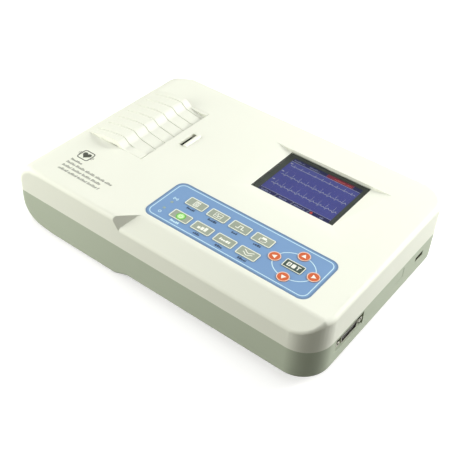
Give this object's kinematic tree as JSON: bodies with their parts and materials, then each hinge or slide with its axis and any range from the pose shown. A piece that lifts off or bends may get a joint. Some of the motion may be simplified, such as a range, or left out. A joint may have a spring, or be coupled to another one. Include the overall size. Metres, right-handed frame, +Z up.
{
  "type": "portable ecg machine",
  "caption": "Portable electrocardiograph with a thermal printer under a ribbed lid, a recessed colour screen and a membrane keypad.",
  "frame": {"origin": "centre of the footprint, on the surface that the feet stand on", "axes": "+X to the operator's right along the long side, +Y away from the operator, +Z up"},
  "size_m": [0.3156, 0.2108, 0.0725],
  "materials": {
    "case_white": "fine textured",
    "case_grey": "fine textured",
    "steel": "satin",
    "rubber": "matt",
    "battery_blue": "shrink sleeve",
    "circuit_board": "solder resist",
    "power_circuit_board": "paper laminate",
    "black_plastic": "moulded",
    "screen_window": "gloss",
    "lcd": "lit display",
    "keypad_blue": "satin film",
    "indicator": "translucent",
    "key_grey": "satin film",
    "key_power": "satin film with a green disc",
    "key_orange": "satin film",
    "key_dark": "satin film",
    "bronze": "sintered",
    "gear_plastic": "acetal",
    "frame_steel": "zinc plated",
    "head_ceramic": "ceramic on an aluminium bar",
    "bay_plastic": "moulded",
    "paper": "coated paper",
    "latch_white": "moulded",
    "connector_shell": "nickel plated",
    "contact_gold": "gold flash",
    "cable_grey": "flat cable"
  },
  "bodies": {
    "case": {"lower_case": "case_grey", "upper_case": "case_white", "case_screws": "steel", "feet": "rubber", "battery_pack": "battery_blue", "battery_door": "case_grey", "main_board": "circuit_board", "power_board": "power_circuit_board", "board_screws": "steel", "speaker": "black_plastic", "screen_window": "screen_window", "lcd_panel": "lcd", "lcd_bracket": "black_plastic", "keypad_overlay": "keypad_blue", "dome_sheet": "steel", "keypad_board": "circuit_board", "indicator_lights": "indicator", "lid_hinge_pin": "steel", "stepper_motor": "steel", "print_frame": "frame_steel", "print_head": "head_ceramic", "head_springs": "steel", "paper_bay": "bay_plastic", "paper_sensor": "black_plastic", "latch_spring": "steel", "patient_connector": "connector_shell", "connector_insert": "black_plastic", "connector_pins": "contact_gold", "jackscrews": "connector_shell", "usb_port": "connector_shell", "port_cover": "case_grey", "mains_inlet": "black_plastic", "ground_terminal": "contact_gold", "ribbon_cables": "cable_grey"},
    "lid": {"printer_lid": "case_white", "platen_bushes": "bronze"},
    "platen": {"platen_shaft": "steel", "platen_rubber": "rubber", "platen_gear": "gear_plastic"},
    "idler": {"idler_gear": "gear_plastic"},
    "pinion": {"motor_pinion": "bronze"},
    "roll": {"paper_roll": "paper", "paper_spindle": "bay_plastic"},
    "latch": {"latch_slide": "latch_white"},
    "key_menu": {"key_menu": "key_grey"},
    "key_mode": {"key_mode": "key_grey"},
    "key_calibrate": {"key_calibrate": "key_grey"},
    "key_print": {"key_print": "key_grey"},
    "key_power": {"key_power": "key_power"},
    "key_gain": {"key_gain": "key_grey"},
    "key_speed": {"key_speed": "key_grey"},
    "key_filter": {"key_filter": "key_grey"},
    "key_left": {"key_left": "key_orange"},
    "key_up": {"key_up": "key_orange"},
    "key_down": {"key_down": "key_orange"},
    "key_right": {"key_right": "key_orange"},
    "key_set": {"key_set": "key_dark"}
  },
  "joints": [
    {"name": "lid_hinge", "type": "hinge", "parent": "case", "child": "lid", "pos_m": [-0.1546, 0.01595, 0.046], "axis": [0, -1, 0], "range_deg": [0, 80]},
    {"name": "platen_spin", "type": "hinge", "parent": "lid", "child": "platen", "pos_m": [-0.086, 0.01595, 0.052], "axis": [0, 1, 0], "continuous": true},
    {"name": "idler_spin", "type": "hinge", "parent": "case", "child": "idler", "pos_m": [-0.086, 0.01595, 0.0336], "axis": [0, 1, 0], "continuous": true},
    {"name": "motor_spin", "type": "hinge", "parent": "case", "child": "pinion", "pos_m": [-0.07207, 0.01595, 0.02421], "axis": [0, 1, 0], "continuous": true},
    {"name": "paper_roll_spin", "type": "hinge", "parent": "case", "child": "roll", "pos_m": [-0.122, 0.01595, 0.031], "axis": [0, 1, 0], "continuous": true},
    {"name": "latch_release", "type": "slide", "parent": "case", "child": "latch", "axis": [-1, 0, 0], "range_m": [0, 0.003], "stiffness_N_per_m": 300, "springref_m": -0.003},
    {"name": "press_key_menu", "type": "slide", "parent": "case", "child": "key_menu", "axis": [0, 0, -1], "range_m": [0, 0.0005], "stiffness_N_per_m": 1500, "springref_m": -0.0005},
    {"name": "press_key_mode", "type": "slide", "parent": "case", "child": "key_mode", "axis": [0, 0, -1], "range_m": [0, 0.0005], "stiffness_N_per_m": 1500, "springref_m": -0.0005},
    {"name": "press_key_calibrate", "type": "slide", "parent": "case", "child": "key_calibrate", "axis": [0, 0, -1], "range_m": [0, 0.0005], "stiffness_N_per_m": 1500, "springref_m": -0.0005},
    {"name": "press_key_print", "type": "slide", "parent": "case", "child": "key_print", "axis": [0, 0, -1], "range_m": [0, 0.0005], "stiffness_N_per_m": 1500, "springref_m": -0.0005},
    {"name": "press_key_power", "type": "slide", "parent": "case", "child": "key_power", "axis": [0, 0, -1], "range_m": [0, 0.0005], "stiffness_N_per_m": 1500, "springref_m": -0.0005},
    {"name": "press_key_gain", "type": "slide", "parent": "case", "child": "key_gain", "axis": [0, 0, -1], "range_m": [0, 0.0005], "stiffness_N_per_m": 1500, "springref_m": -0.0005},
    {"name": "press_key_speed", "type": "slide", "parent": "case", "child": "key_speed", "axis": [0, 0, -1], "range_m": [0, 0.0005], "stiffness_N_per_m": 1500, "springref_m": -0.0005},
    {"name": "press_key_filter", "type": "slide", "parent": "case", "child": "key_filter", "axis": [0, 0, -1], "range_m": [0, 0.0005], "stiffness_N_per_m": 1500, "springref_m": -0.0005},
    {"name": "press_key_left", "type": "slide", "parent": "case", "child": "key_left", "axis": [0, 0, -1], "range_m": [0, 0.0005], "stiffness_N_per_m": 1500, "springref_m": -0.0005},
    {"name": "press_key_up", "type": "slide", "parent": "case", "child": "key_up", "axis": [0, 0, -1], "range_m": [0, 0.0005], "stiffness_N_per_m": 1500, "springref_m": -0.0005},
    {"name": "press_key_down", "type": "slide", "parent": "case", "child": "key_down", "axis": [0, 0, -1], "range_m": [0, 0.0005], "stiffness_N_per_m": 1500, "springref_m": -0.0005},
    {"name": "press_key_right", "type": "slide", "parent": "case", "child": "key_right", "axis": [0, 0, -1], "range_m": [0, 0.0005], "stiffness_N_per_m": 1500, "springref_m": -0.0005},
    {"name": "press_key_set", "type": "slide", "parent": "case", "child": "key_set", "axis": [0, 0, -1], "range_m": [0, 0.0005], "stiffness_N_per_m": 1500, "springref_m": -0.0005}
  ],
  "couplings": [
    {"joint": "idler_spin", "follows": "platen_spin", "ratio": -0.53333},
    {"joint": "motor_spin", "follows": "platen_spin", "ratio": 1.3333}
  ]
}
